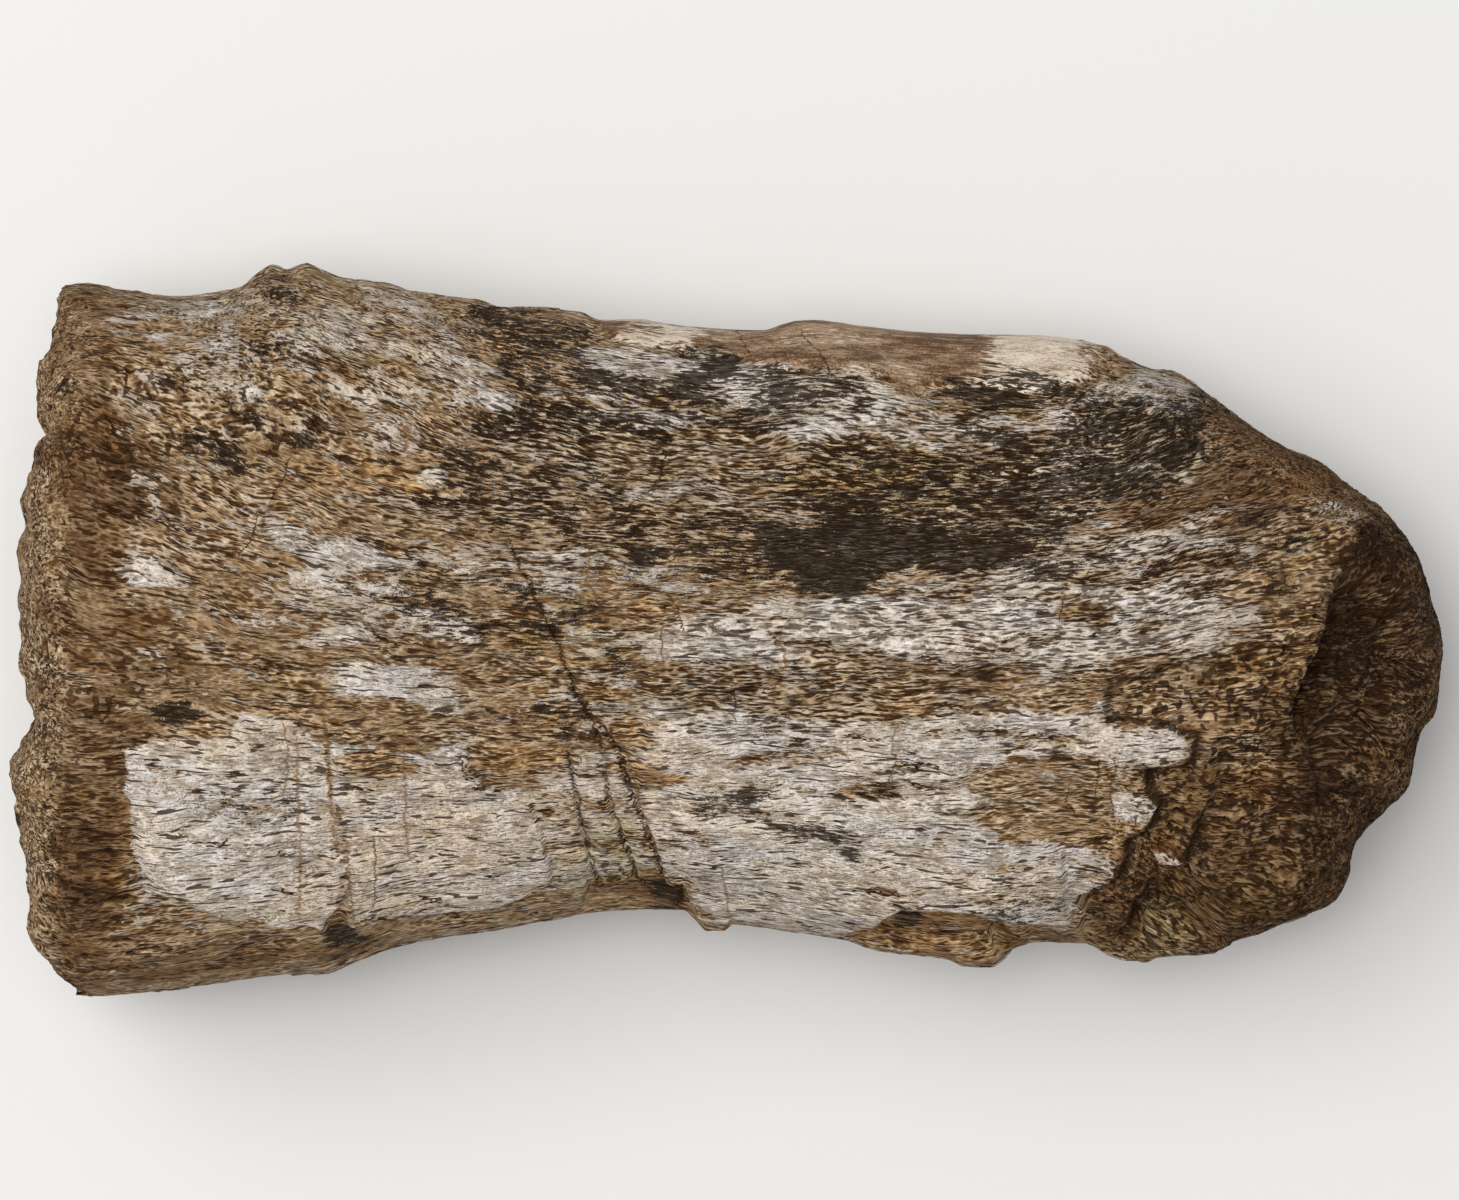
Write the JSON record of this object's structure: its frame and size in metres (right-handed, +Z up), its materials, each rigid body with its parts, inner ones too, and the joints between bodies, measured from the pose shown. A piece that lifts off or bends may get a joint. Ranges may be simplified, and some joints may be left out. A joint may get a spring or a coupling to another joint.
{
  "type": "fossil sauropod caudal vertebra",
  "caption": "Long drum-shaped tail bone centrum turned to stone, waisted between a dished flat end and a broken domed end, lying on its side.",
  "frame": {"origin": "on the ground under the middle of the bone's box", "axes": "+X along the bone from its dished flat end to its domed end, +Y across it towards the broken base of the neural arch, +Z up"},
  "size_m": [0.2006, 0.1021, 0.0803],
  "materials": {
    "fossil_bone": "dry and matt, grey-white weathered skin over tan and brown spongy bone"
  },
  "bodies": {
    "root": {"vertebra": "fossil_bone"}
  },
  "joints": []
}
